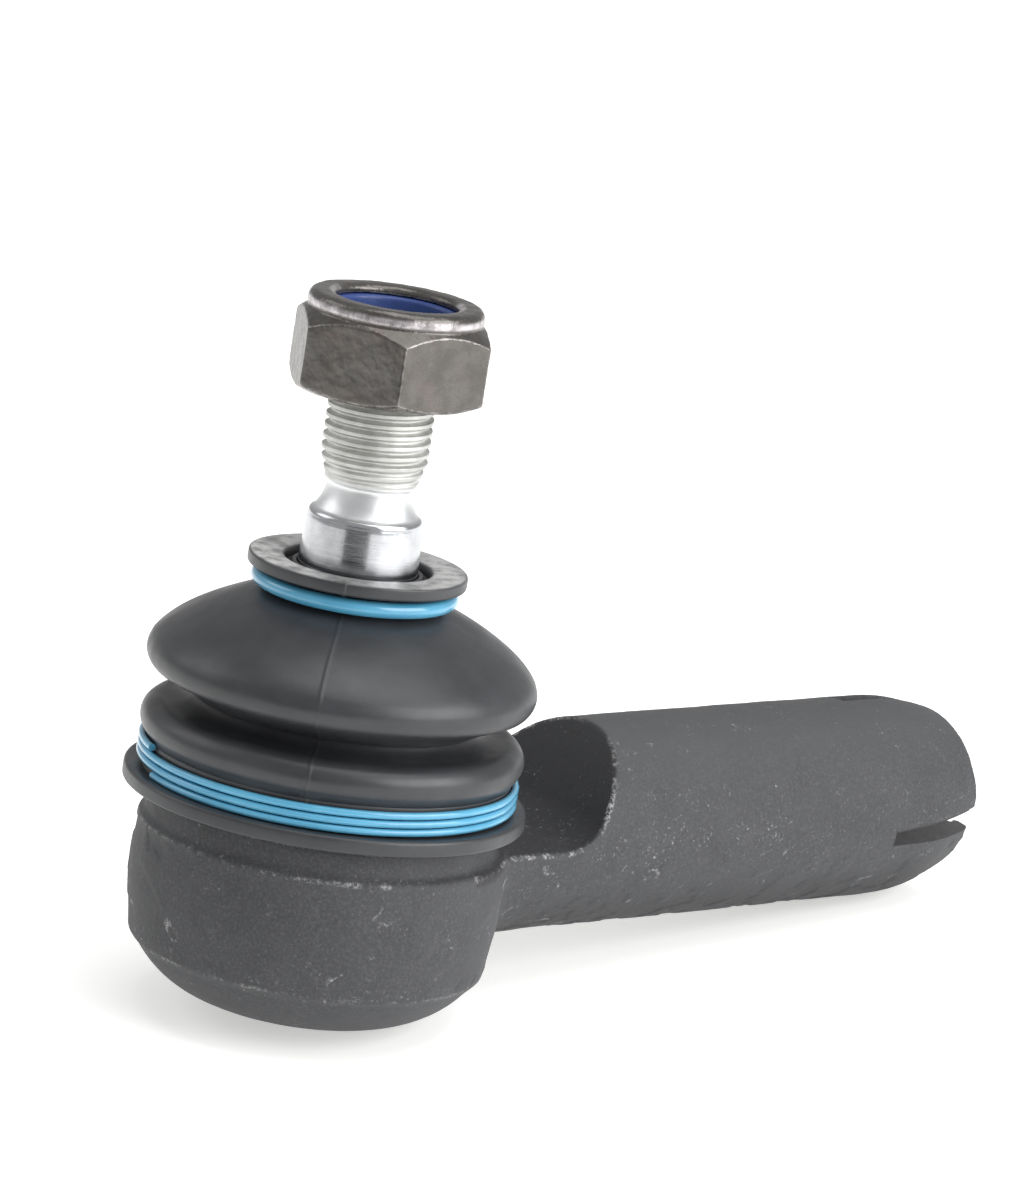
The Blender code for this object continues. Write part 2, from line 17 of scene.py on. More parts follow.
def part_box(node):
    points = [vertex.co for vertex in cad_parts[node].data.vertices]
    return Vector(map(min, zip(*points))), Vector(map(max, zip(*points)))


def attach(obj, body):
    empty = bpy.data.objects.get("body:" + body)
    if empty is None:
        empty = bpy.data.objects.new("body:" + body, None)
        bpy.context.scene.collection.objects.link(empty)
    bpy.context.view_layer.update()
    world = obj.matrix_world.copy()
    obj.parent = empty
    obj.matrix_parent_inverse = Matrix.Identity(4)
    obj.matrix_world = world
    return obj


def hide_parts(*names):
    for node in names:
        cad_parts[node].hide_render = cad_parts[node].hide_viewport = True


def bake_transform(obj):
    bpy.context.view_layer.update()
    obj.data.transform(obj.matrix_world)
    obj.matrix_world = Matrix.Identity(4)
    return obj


MM = 0.001
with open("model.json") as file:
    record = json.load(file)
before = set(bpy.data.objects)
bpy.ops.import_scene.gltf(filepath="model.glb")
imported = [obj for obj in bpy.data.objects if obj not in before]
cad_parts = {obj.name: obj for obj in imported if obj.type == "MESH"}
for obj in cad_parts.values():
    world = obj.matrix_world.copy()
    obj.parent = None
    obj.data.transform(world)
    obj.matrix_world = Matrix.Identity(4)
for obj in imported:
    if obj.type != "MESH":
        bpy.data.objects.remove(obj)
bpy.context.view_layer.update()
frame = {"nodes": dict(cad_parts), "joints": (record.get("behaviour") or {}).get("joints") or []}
joints = {joint["name"]: joint for joint in frame["joints"]}


def box_mm(node):
    """A CAD node's lowest and highest corners in millimetres."""
    low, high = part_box(node)
    return low / MM, high / MM


# Sizes that the frame gives
BALL_Z = joints["stud_tilt"]["pos_m"][2] / MM
HOUSING_LOW, HOUSING_HIGH = box_mm("housing")
WALL_R = HOUSING_HIGH.y
FORGING_SHIFT = HOUSING_LOW.x + WALL_R  # the forged bowl is a little off the stud's axis
SLEEVE_R = HOUSING_HIGH.z - BALL_Z
SLEEVE_END_X = HOUSING_HIGH.x
BOOT_LOW, BOOT_HIGH = box_mm("boot")
LIP_R = BOOT_HIGH.x
LOWER_RING_LOW, LOWER_RING_HIGH = box_mm("boot_lower_ring")
UPPER_RING_LOW, UPPER_RING_HIGH = box_mm("boot_upper_ring")
STUD_LOW, STUD_HIGH = box_mm("ball_stud")
BALL_R = STUD_HIGH.x
NUT_LOW, NUT_HIGH = box_mm("lock_nut")
INSERT_LOW, INSERT_HIGH = box_mm("lock_nut_insert")

# Housing, as in the CAD model
COLLAR_R = 15.3
COLLAR_TOP_Z = 24.0
SHOULDER_Z = 19.7
NECK_R = 16.2
TRIM_R = 17.35
TRIM_Z = 16.7
WALL_HIGH_Z = 13.0
WALL_LOW_Z = 10.5
BOWL_EDGE = (16.85, 5.5)
BOWL_ROUND = (13.4, 0.7)
BASE_R = 8.0
SEAT_BORE_R = 12.2
SEAT_FLOOR_Z = 3.8
CLOSING_TOP_Z = 22.9
ROLLED_LIP_R = 10.9
SHANK_START_X = 8.0
SLEEVE_TAPER_X = 73.5
SLEEVE_END_R = 8.7
SCOOP_FLOOR_Z = 16.15
SCOOP_FLOOR_R = 25.5
SCOOP_ROUND_R = 4.2
SCOOP_TOP_R = 32.9
BORE_START_X = 36.5
BORE_MINOR_R = 6.2
BORE_MAJOR_R = 7.0
BORE_PITCH = 1.5
DRILL_POINT = 3.6
SLOT_START_X = 68.7
SLOT_WIDTH = 1.75
SLOT_ANGLES = (8.0, 84.5)  # degrees about +X, from +Y
BENT_PRONG = (188.0, 264.5)  # the same angles for the prong that is pressed in
PRONG_BEND = 0.55
CUT_OPENING = 1.4  # between the cut's inner and outer ends
FORGING_VOXEL = 0.3

# Boot
PARTING_AZIMUTHS = (222.0, 42.0)  # of the two moulding lines, in degrees
GROOVE_R = 17.2
GROOVE_TOP_Z = 24.2
LOWER_BULGE = (16.25, 26.05)  # middle of its round edge
LOWER_BULGE_ROUND_R = 1.8
WAIST_R = 13.5
WAIST_Z = 28.7
BULGE_R = 18.3
BULGE_Z = 32.6
UPPER_BULGE = (16.35, 32.45)
UPPER_BULGE_ROUND_R = 1.95
TOP_LIP_R = 10.24
TOP_LIP_BOTTOM_Z = 41.65
TOP_GROOVE_R = 8.2
PAINTED_LIGHT_AZIMUTH = 136.0  # where the top lip's painted sheen is strongest and the nut's mouth has its painted glints, in degrees
WIRE_START = 163.0  # azimuth of the lower ring's ends, in degrees

# Stud
THREAD_R = 5.0
THREAD_ROOT_R = 4.56
THREAD_PITCH = 1.0
THREAD_START_Z = 50.7
RUNOUT_R = 4.42  # crest and root where the thread runs out
RUNOUT_ROOT_R = 4.3
CONE_END_R = 5.36
CONE_END_Z = 47.5
CONE_SLOPE = 0.052
UNDERCUT_R = 4.0

# Nut
NUT_FLATS_R = 8.5
NUT_CORNER_R = NUT_FLATS_R / math.cos(math.radians(30))
NUT_CLOCKING = -4.32  # degrees from +X to its first corner
NUT_CORNER_Z = 64.75
RIM_Z = 66.2
NUT_VOXEL = 0.13


# ---------------------------------------------------------------- outlines


def arc(centre, radius, start, end, steps):
    """Points on a circular arc, from start to end in degrees."""
    angles = [math.radians(start + (end - start) * step / steps) for step in range(steps + 1)]
    return [(centre[0] + radius * math.cos(a), centre[1] + radius * math.sin(a)) for a in angles]


def bend(start, control, end, steps):
    """Points on a quadratic curve."""
    points = []
    for step in range(steps + 1):
        t = step / steps
        weights = ((1 - t) ** 2, 2 * t * (1 - t), t * t)
        pairs = list(zip(weights, (start, control, end)))
        points.append(tuple(sum(w * p[i] for w, p in pairs) for i in (0, 1)))
    return points


def rounded(corners):
    """A closed outline from corners of (radius, height, round), each cut back by its round."""
    outline = []
    for index, (r, z, setback) in enumerate(corners):
        here = Vector((r, z))
        if setback == 0:
            outline.append((r, z))
            continue
        before = Vector(corners[index - 1][:2]) - here
        after = Vector(corners[(index + 1) % len(corners)][:2]) - here
        start = here + before.normalized() * setback
        end = here + after.normalized() * setback
        outline += bend(start, here, end, 4)
    return outline


def even(segments):
    """Angles in radians, evenly round a circle."""
    return [2 * math.pi * i / segments for i in range(segments)]


# ------------------------------------------------------------------ meshes


def mesh_object(name, bm):
    """An object in the scene from a bmesh."""
    bmesh.ops.recalc_face_normals(bm, faces=bm.faces)
    mesh = bpy.data.meshes.new(name)
    bm.to_mesh(mesh)
    bm.free()
    obj = bpy.data.objects.new(name, mesh)
    bpy.context.scene.collection.objects.link(obj)
    return obj


def revolve(name, outline, angles):
    """A closed outline of (radius, height) points turned round Z."""
    bm = bmesh.new()
    turns = [(math.cos(a), math.sin(a)) for a in angles]
    rings = [[bm.verts.new((r * c, r * s, z)) for c, s in turns] for r, z in outline]
    for index, ring in enumerate(rings):
        if outline[index][0] == 0 and outline[index - 1][0] == 0:
            continue
        below = rings[index - 1]
        for i in range(len(ring)):
            bm.faces.new((below[i - 1], below[i], ring[i], ring[i - 1]))
    bmesh.ops.remove_doubles(bm, verts=bm.verts, dist=1e-5)
    return mesh_object(name, bm)


def along_sleeve(obj):
    """Turn a piece made round Z so that it runs along the sleeve."""
    obj.data.transform(Matrix.Translation((0, 0, BALL_Z)) @ Matrix.Rotation(math.radians(90), 4, "Y"))
    return obj


def bake(obj):
    """Apply an object's modifiers to its mesh."""
    bpy.context.view_layer.update()
    graph = bpy.context.evaluated_depsgraph_get()
    obj.data = bpy.data.meshes.new_from_object(obj.evaluated_get(graph), depsgraph=graph)
    obj.modifiers.clear()


def combine(obj, tool, operation):
    """Apply one Boolean, and drop its tool."""
    modifier = obj.modifiers.new("combine", "BOOLEAN")
    modifier.operation = operation
    modifier.solver = "EXACT"
    modifier.object = tool
    bake(obj)
    bpy.data.objects.remove(tool, do_unlink=True)


def remesh(obj, voxel):
    """Small even faces all over."""
    modifier = obj.modifiers.new("remesh", "REMESH")
    modifier.mode = "VOXEL"
    modifier.voxel_size = voxel
    bake(obj)


def points_of(mesh):
    """The mesh's vertices as an array."""
    co = np.empty(len(mesh.vertices) * 3)
    mesh.vertices.foreach_get("co", co)
    return co.reshape(-1, 3)


def move_points(mesh, co):
    """Put the mesh's vertices at these places."""
    mesh.vertices.foreach_set("co", co.ravel())
    mesh.update()


def normals_of(mesh):
    """The mesh's vertex normals as an array."""
    normals = np.empty(len(mesh.vertices) * 3)
    mesh.vertex_normals.foreach_get("vector", normals)
    return normals.reshape(-1, 3)


def pulls(co, edges, count):
    """How far each point is from the mean of its neighbours."""
    first, second = edges
    total = np.zeros_like(co)
    for axis in range(3):
        total[:, axis] = np.bincount(first, co[second, axis], len(co))
        total[:, axis] += np.bincount(second, co[first, axis], len(co))
    return total / count[:, None] - co


def links_of(mesh):
    """Both ends of each edge, and how many edges each vertex has."""
    ends = np.empty(len(mesh.edges) * 2, dtype=np.int64)
    mesh.edges.foreach_get("vertices", ends)
    first, second = ends.reshape(-1, 2).T
    count = np.bincount(ends, minlength=len(mesh.vertices))
    return (first, second), np.maximum(count, 1)


def relax(mesh, rounds):
    """Round the edges of a finely remeshed piece."""
    co = points_of(mesh)
    edges, count = links_of(mesh)
    for _ in range(rounds):
        co += 0.5 * pulls(co, edges, count)
    move_points(mesh, co)


def fill_hollows(mesh, weight, rounds):
    """Build a fillet into the hollow corners where weight, from 0 to 1, is high."""
    edges, count = links_of(mesh)
    for _ in range(rounds):
        co = points_of(mesh)
        normals = normals_of(mesh)
        rise = (pulls(co, edges, count) * normals).sum(1)
        co += normals * (np.maximum(rise, 0) * weight)[:, None]
        move_points(mesh, co)


def store(mesh, name, values):
    """Keep one number per vertex for the material to read."""
    attribute = mesh.attributes.new(name, "FLOAT", "POINT")
    attribute.data.foreach_set("value", values.astype(np.float32))


def sharpness(mesh, scale):
    """How strongly each point stands out from its neighbours, from -1 in a hollow to 1 on an edge."""
    edges, count = links_of(mesh)
    rise = (pulls(points_of(mesh), edges, count) * normals_of(mesh)).sum(1)
    return np.clip(-rise / scale, -1, 1)


def grain(co, size, octaves=3, shift=0.0):
    """Smooth noise of about -1 to 1 at each point, with bumps of about this size."""
    offset = Vector((shift, shift * 0.7, shift * 1.3))
    return np.array([noise.fractal(Vector(p) / size + offset, 0.6, 2.0, octaves) for p in co])


def smoothstep(value, low, high):
    """0 below low, 1 above high, and smooth between."""
    t = np.clip((value - low) / (high - low), 0, 1)
    return t * t * (3 - 2 * t)


def fade(value, low, high):
    """1 below low, 0 above high, and smooth between."""
    return 1 - smoothstep(value, low, high)


def hill(value, middle, width):
    """1 at the middle, and falling smoothly on both sides."""
    return np.exp(-(((value - middle) / width) ** 2))


def thread_height(co, pitch):
    """From 0 at the root to 1 at the crest of a right-hand thread about Z."""
    turn = np.arctan2(co[:, 1], co[:, 0]) / (2 * math.pi)
    phase = np.abs((co[:, 2] / pitch - turn) % 1.0 - 0.5) * 2
    return smoothstep(phase, 0.12, 0.72)


def place(obj, body, material, slot, *nodes, crease=40.0, extra=()):
    """Turn a piece into metres, smooth it, dress it, hang it on what it rides on, and hide the CAD parts
    it stands for.
    """
    obj.data.transform(Matrix.Scale(MM, 4))
    obj.data.shade_smooth()
    obj.data.set_sharp_from_angle(angle=math.radians(crease))
    obj.data.materials.clear()
    obj.data.materials.append(material)
    for more in extra:
        obj.data.materials.append(more)
    if body:
        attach(obj, body)
    if nodes:
        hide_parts(*nodes)
    return obj


# --------------------------------------------------------------- materials


class Finish:
    """A node material in the making. Patterns are in the part's frame, in millimetres."""

    def __init__(self, name):
        self.material = bpy.data.materials.new(name)
        self.material.use_nodes = True
        self.tree = self.material.node_tree
        self.shader = self.tree.nodes["Principled BSDF"]
        coordinates = self.tree.nodes.new("ShaderNodeTexCoord").outputs["Object"]
        self.place = self.math("MULTIPLY", coordinates, (1 / MM,) * 3, vector=True)

    def feed(self, socket, value):
        """Link a socket, or set its value."""
        if isinstance(value, bpy.types.NodeSocket):
            self.tree.links.new(value, socket)
        else:
            socket.default_value = value

    def math(self, operation, first, second, vector=False):
        """A Math or Vector Math node."""
        node = self.tree.nodes.new("ShaderNodeVectorMath" if vector else "ShaderNodeMath")
        node.operation = operation
        self.feed(node.inputs[0], first)
        self.feed(node.inputs[1], second)
        return node.outputs[0]

    def stretched(self, factors):
        """The place, scaled along each axis."""
        return self.math("MULTIPLY", self.place, factors, vector=True)

    def noise(self, size, detail=3.0, roughness=0.55, place=None, distortion=0.0):
        """Noise with bumps of about this size, from 0 to 1."""
        node = self.tree.nodes.new("ShaderNodeTexNoise")
        self.feed(node.inputs["Vector"], place or self.place)
        node.inputs["Scale"].default_value = 1 / size
        node.inputs["Detail"].default_value = detail
        node.inputs["Roughness"].default_value = roughness
        node.inputs["Distortion"].default_value = distortion
        return node.outputs["Fac"]

    def axis(self, name):
        """One coordinate in millimetres."""
        node = self.tree.nodes.new("ShaderNodeSeparateXYZ")
        self.feed(node.inputs[0], self.place)
        return node.outputs[name]

    def attribute(self, name):
        """A number that the mesh keeps at each vertex."""
        node = self.tree.nodes.new("ShaderNodeAttribute")
        node.attribute_name = name
        return node.outputs["Fac"]

    def remap(self, value, low, high, to_low=0.0, to_high=1.0):
        """A value moved smoothly from one range to another."""
        node = self.tree.nodes.new("ShaderNodeMapRange")
        node.interpolation_type = "SMOOTHSTEP"
        sockets = ("Value", "From Min", "From Max", "To Min", "To Max")
        for socket, given in zip(sockets, (value, low, high, to_low, to_high)):
            self.feed(node.inputs[socket], given)
        return node.outputs["Result"]

    def blend(self, amount, first, second):
        """One colour turning into another."""
        node = self.tree.nodes.new("ShaderNodeMix")
        node.data_type = "RGBA"
        self.feed(node.inputs["Factor"], amount)
        for socket, value in ((node.inputs["A"], first), (node.inputs["B"], second)):
            self.feed(socket, value if isinstance(value, bpy.types.NodeSocket) else (*value, 1.0))
        return node.outputs["Result"]

    def bump(self, height, distance, over=None):
        """A bump of this depth in millimetres, over another bump."""
        node = self.tree.nodes.new("ShaderNodeBump")
        node.inputs["Strength"].default_value = 1.0
        node.inputs["Distance"].default_value = distance * MM
        self.feed(node.inputs["Height"], height)
        if over:
            self.feed(node.inputs["Normal"], over)
        return node.outputs["Normal"]

    def shade(self, **sockets):
        """Set or link the shader's sockets, and give the material."""
        for name, value in sockets.items():
            socket = self.shader.inputs[name.replace("_", " ").title().replace("Ior", "IOR")]
            if isinstance(value, tuple) and len(value) == 3:
                value = (*value, 1.0)
            self.feed(socket, value)
        return self.material


def forging_finish():
    """Black-coated forging: fine sandy grain, with bright metal on worn edges and in small chips."""
    finish = Finish("black_forging")

    # Base tone and sandy grain
    broad = finish.remap(finish.noise(5.0, 3.0), 0.3, 0.7)
    base = finish.blend(broad, (0.043, 0.044, 0.047), (0.051, 0.052, 0.056))
    sand = finish.noise(0.30, 3.0, 0.75)
    base = finish.blend(finish.remap(sand, 0.42, 0.78, 0.0, 0.55), base, (0.12, 0.12, 0.125))
    base = finish.blend(finish.remap(sand, 0.44, 0.25, 0.0, 0.7), base, (0.029, 0.029, 0.031))

    # Paler along the top of the shank with painted light, and darker with painted shade in the scoop,
    # the cuts and below
    painted_top_light = finish.remap(finish.axis("Z"), 20.5, 25.0, 0.0, 0.6)
    base = finish.blend(painted_top_light, base, (0.078, 0.080, 0.082))
    # Painted shade in the scoop, the saw cuts and under the shank
    dark = finish.math("MULTIPLY", finish.attribute("hollow"), 0.75)
    base = finish.blend(dark, base, (0.018, 0.018, 0.020))

    # Worn edges, chips and faint scratches
    worn_patch = finish.remap(finish.noise(3.0, 4.0, 0.65), 0.44, 0.6)
    edge = finish.remap(finish.attribute("edge"), 0.3, 0.9)
    fleck = finish.remap(finish.noise(0.32, 4.0, 0.75), 0.44, 0.56)
    worn = finish.math("MULTIPLY", finish.math("MULTIPLY", edge, worn_patch), fleck)
    scuffs = finish.math("MULTIPLY", finish.attribute("scuffs"), 0.07)
    broken = finish.math("ADD", finish.noise(0.75, 5.0, 0.78), scuffs)
    chips = finish.remap(broken, 0.675, 0.765)
    faint = finish.math("ADD", finish.noise(0.42, 4.0, 0.75, distortion=0.4), scuffs)
    faint = finish.remap(faint, 0.63, 0.77, 0.0, 0.30)
    chips = finish.math("MAXIMUM", finish.math("MULTIPLY", chips, 0.68), faint)
    bright = finish.math("MAXIMUM", finish.math("MULTIPLY", worn, 0.7), chips)
    colour = finish.blend(bright, base, (0.46, 0.46, 0.46))

    grain_bump = finish.bump(finish.noise(0.8, 4.0, 0.65), 0.05)
    normal = finish.bump(sand, 0.045, over=grain_bump)
    return finish.shade(
        base_color=colour,
        roughness=finish.remap(sand, 0.2, 0.8, 0.55, 0.75),
        metallic=0.0,
        specular_ior_level=0.4,
        normal=normal,
    )


def bore_finish():
    """Machined and oiled steel inside the sleeve and the ball's bore."""
    finish = Finish("machined_bore")
    lines = finish.noise(0.35, 3.0, place=finish.stretched((6.0, 0.4, 0.4)))
    colour = finish.blend(finish.noise(2.0), (0.10, 0.10, 0.105), (0.20, 0.20, 0.205))
    return finish.shade(
        base_color=colour,
        metallic=0.8,
        roughness=finish.remap(lines, 0.3, 0.7, 0.3, 0.5),
        normal=finish.bump(lines, 0.02),
    )


def rubber_finish():
    """Smooth moulded rubber, with a pale bloom on the flat top of its upper lip, made paler at its sides
    by painted sheen.
    """
    finish = Finish("black_rubber")
    paleness = finish.remap(finish.noise(6.0, 4.0, 0.6), 0.35, 0.7)
    colour = finish.blend(paleness, (0.026, 0.027, 0.030), (0.035, 0.037, 0.041))
    # Pale bloom on the lip's top, made paler at its sides by painted sheen
    bloom_and_sheen = finish.remap(finish.noise(1.8, 4.0, 0.65), 0.30, 0.62, 0.25, 1.0)
    bloom_and_sheen = finish.math("MULTIPLY", finish.attribute("lip_top"), bloom_and_sheen)
    colour = finish.blend(bloom_and_sheen, colour, (0.68, 0.68, 0.67))
    fine = finish.noise(0.25, 3.0, 0.6)
    return finish.shade(
        base_color=colour,
        roughness=finish.remap(finish.noise(2.5, 3.0), 0.3, 0.7, 0.34, 0.42),
        specular_ior_level=0.55,
        normal=finish.bump(fine, 0.01),
    )


def zinc_finish():
    """Bright zinc over turned steel, duller on the thread."""
    finish = Finish("zinc_plated_steel")
    on_thread = finish.remap(finish.axis("Z"), THREAD_START_Z - 0.5, THREAD_START_Z + 0.3)
    tone = finish.remap(finish.noise(1.8, 4.0), 0.3, 0.7)
    smooth = finish.blend(tone, (0.50, 0.51, 0.53), (0.60, 0.61, 0.63))
    dull = finish.blend(tone, (0.52, 0.52, 0.50), (0.65, 0.65, 0.635))
    on_neck = finish.remap(finish.axis("Z"), CONE_END_Z - 0.1, CONE_END_Z + 0.25)
    smooth = finish.blend(on_neck, smooth, (0.80, 0.81, 0.82))
    lines = finish.noise(0.5, 4.0, 0.7, place=finish.stretched((0.12, 0.12, 5.0)))
    rough = finish.remap(lines, 0.3, 0.7, 0.15, 0.25)
    rough = finish.math("ADD", rough, finish.math("MULTIPLY", on_neck, 0.20))
    return finish.shade(
        base_color=finish.blend(on_thread, smooth, dull),
        metallic=1.0,
        roughness=finish.math("ADD", rough, finish.math("MULTIPLY", on_thread, 0.13)),
        normal=finish.bump(lines, 0.006),
    )


def phosphate_finish():
    """Grey-brown phosphated steel, rubbed lighter along its edges, with a painted highlight round the
    rim and painted glints at the mouth.
    """
    finish = Finish("phosphated_steel")
    tone = finish.remap(finish.noise(2.2, 4.0, 0.6), 0.32, 0.68)
    base = finish.blend(tone, (0.100, 0.094, 0.087), (0.134, 0.127, 0.120))
    brown = finish.remap(finish.noise(3.0, 3.0), 0.5, 0.72, 0.0, 0.45)
    base = finish.blend(brown, base, (0.145, 0.118, 0.110))
    speck = finish.noise(0.22, 3.0, 0.7)
    base = finish.blend(finish.remap(speck, 0.52, 0.78, 0.0, 0.25), base, (0.25, 0.24, 0.23))
    rubbed = finish.remap(finish.attribute("edge"), 0.3, 0.95)
    rubbed = finish.math("MULTIPLY", rubbed, finish.remap(finish.noise(0.9, 3.0), 0.35, 0.62, 0.0, 0.7))
    base = finish.blend(rubbed, base, (0.40, 0.375, 0.37))
    # Painted highlight: a pale streaky band round the rim and pale glints at two sides of the mouth
    streak = finish.remap(finish.noise(1.2, 3.0), 0.3, 0.6, 0.35, 1.0)
    highlight_amount = finish.math("MULTIPLY", finish.attribute("rim"), streak)
    return finish.shade(
        base_color=finish.blend(highlight_amount, base, (0.62, 0.58, 0.60)),
        metallic=0.8,
        roughness=finish.remap(speck, 0.3, 0.7, 0.24, 0.34),
        normal=finish.bump(speck, 0.006, over=finish.bump(finish.noise(1.6, 3.0), 0.008)),
    )


def wire_finish():
    """Glossy blue coating on the boot's rings."""
    finish = Finish("blue_coated_wire")
    tone = finish.remap(finish.noise(4.0, 2.0), 0.3, 0.7)
    colour = finish.blend(tone, (0.075, 0.33, 0.52), (0.100, 0.385, 0.58))
    return finish.shade(
        base_color=colour,
        roughness=finish.remap(finish.noise(1.5), 0.3, 0.7, 0.18, 0.26),
        coat_weight=0.6,
        coat_roughness=0.12,
        normal=finish.bump(finish.noise(2.0, 2.0), 0.004),
    )


def nylon_finish():
    """Moulded navy nylon."""
    finish = Finish("blue_nylon")
    colour = finish.blend(finish.noise(0.9, 3.0), (0.018, 0.040, 0.16), (0.035, 0.070, 0.24))
    return finish.shade(
        base_color=colour,
        roughness=finish.remap(finish.noise(0.4), 0.3, 0.7, 0.34, 0.48),
        normal=finish.bump(finish.noise(0.3), 0.01),
    )


def acetal_finish():
    """Natural acetal of the half seats, streaked with grease."""
    finish = Finish("seat_plastic")
    grease = finish.remap(finish.noise(3.0, 4.0, 0.6, distortion=0.6), 0.45, 0.7)
    colour = finish.blend(grease, (0.72, 0.70, 0.64), (0.52, 0.44, 0.28))
    return finish.shade(
        base_color=colour,
        roughness=finish.remap(grease, 0.0, 1.0, 0.42, 0.2),
        subsurface_weight=0.1,
        normal=finish.bump(finish.noise(0.5), 0.01),
    )


def spring_finish():
    """Oiled spring steel of the disc spring and the closing ring."""
    finish = Finish("spring_steel")
    lines = finish.noise(0.6, 3.0, place=finish.stretched((1.0, 1.0, 0.2)))
    colour = finish.blend(lines, (0.26, 0.26, 0.27), (0.42, 0.42, 0.43))
    return finish.shade(
        base_color=colour,
        metallic=1.0,
        roughness=finish.remap(lines, 0.3, 0.7, 0.28, 0.42),
        normal=finish.bump(finish.noise(0.3), 0.01),
    )


# ----------------------------------------------------------------- housing


def bowl_outline():
    """The drafted wall under the trimmed edge, and the round underside."""
    return [
        (0, TRIM_Z + 0.35),
        (TRIM_R - 0.3, TRIM_Z + 0.35),
        (TRIM_R + 0.12, TRIM_Z),
        (TRIM_R + 0.12, TRIM_Z - 0.35),
        (TRIM_R, TRIM_Z - 0.7),
        (WALL_R, WALL_HIGH_Z),
        (WALL_R, WALL_LOW_Z),
        BOWL_EDGE,
        (BOWL_EDGE[0] - 0.05, BOWL_EDGE[1] - 0.3),
        (BOWL_EDGE[0] - 0.55, BOWL_EDGE[1] - 0.5),
        *bend((BOWL_EDGE[0] - 0.75, BOWL_EDGE[1] - 0.8), BOWL_ROUND, (BASE_R, 0), 16),
        (0, 0),
    ]


def neck_outline():
    """The turned collar and shoulder that the boot sits on."""
    return [
        (0, COLLAR_TOP_Z),
        (COLLAR_R - 0.8, COLLAR_TOP_Z),
        (COLLAR_R, COLLAR_TOP_Z - 0.8),
        (COLLAR_R, SHOULDER_Z),
        (NECK_R, SHOULDER_Z),
        (NECK_R + 0.35, TRIM_Z),
        (NECK_R + 0.35, WALL_HIGH_Z),
        (0, WALL_HIGH_Z),
    ]


def shank_outline():
    """The sleeve's outside, with its rounded taper; heights run along the sleeve."""
    shoulder = (SLEEVE_R, SLEEVE_TAPER_X + 3)
    taper = bend((SLEEVE_R, SLEEVE_TAPER_X), shoulder, (SLEEVE_END_R, SLEEVE_END_X), 12)
    return [(0, SHANK_START_X), (SLEEVE_R, SHANK_START_X), *taper, (0, SLEEVE_END_X)]


def scoop_outline():
    """Everything above the hollow that clears the boot."""
    top = BALL_Z + SLEEVE_R
    return [
        (0, SCOOP_FLOOR_Z),
        (SCOOP_FLOOR_R, SCOOP_FLOOR_Z),
        *arc((SCOOP_FLOOR_R, SCOOP_FLOOR_Z + SCOOP_ROUND_R), SCOOP_ROUND_R, -90, -27, 14),
        (SCOOP_TOP_R, top),
        (SCOOP_TOP_R + 1, top + 2),
        (0, top + 2),
    ]


def seat_bore_outline():
    """The pocket for the half seats, under the lip rolled over the closing ring."""
    above = COLLAR_TOP_Z + 5
    return [
        (0, above),
        (ROLLED_LIP_R, above),
        (ROLLED_LIP_R, CLOSING_TOP_Z),
        (SEAT_BORE_R, CLOSING_TOP_Z),
        (SEAT_BORE_R, SEAT_FLOOR_Z + 1.2),
        (SEAT_BORE_R - 1.2, SEAT_FLOOR_Z),
        (0, SEAT_FLOOR_Z),
    ]


def tap():
    """The shape of the sleeve's threaded bore, with a drilled point and a chamfered mouth."""
    rows = int((SLEEVE_END_X - BORE_START_X) / BORE_PITCH * 10)
    step = (SLEEVE_END_X - BORE_START_X) / rows
    outline = [(0, BORE_START_X - DRILL_POINT)]
    outline += [(BORE_MINOR_R, BORE_START_X + step * row) for row in range(rows + 1)]
    outline += [(BORE_MAJOR_R + 1.2, SLEEVE_END_X + 1), (0, SLEEVE_END_X + 1)]
    tool = revolve("tap", outline, even(72))
    co = points_of(tool.data)
    radius = np.hypot(co[:, 0], co[:, 1])
    wall = (radius > 1) & (co[:, 2] <= SLEEVE_END_X + 0.01)
    runout = smoothstep(co[:, 2], BORE_START_X + 0.5, BORE_START_X + 3)
    deeper = (BORE_MAJOR_R - BORE_MINOR_R) * thread_height(co, BORE_PITCH) * runout
    mouth = BORE_MINOR_R + np.clip(co[:, 2] - (SLEEVE_END_X - 1.0), 0, 1)
    wanted = np.maximum(BORE_MINOR_R + deeper, mouth)
    co[wall, :2] *= (wanted[wall] / radius[wall])[:, None]
    move_points(tool.data, co)
    return along_sleeve(tool)


def saw(angle):
    """One saw cut right across the sleeve's end, at an angle in degrees about its axis."""
    bm = bmesh.new()
    bmesh.ops.create_cube(bm, size=1.0)
    length = SLEEVE_END_X + 5 - SLOT_START_X
    middle = SLOT_START_X + length / 2
    turn = Matrix.Rotation(math.radians(angle), 4, "X")
    size = Matrix.Diagonal((length, 30, SLOT_WIDTH, 1))
    bm.transform(Matrix.Translation((middle, 0, BALL_Z)) @ turn @ size)
    return mesh_object("saw", bm)


def bowl_wall(x, y):
    """1 on the outside of the bowl's wall, and 0 inside it."""
    return smoothstep(np.hypot(x - FORGING_SHIFT, y), WALL_R - 1.2, WALL_R - 0.4)


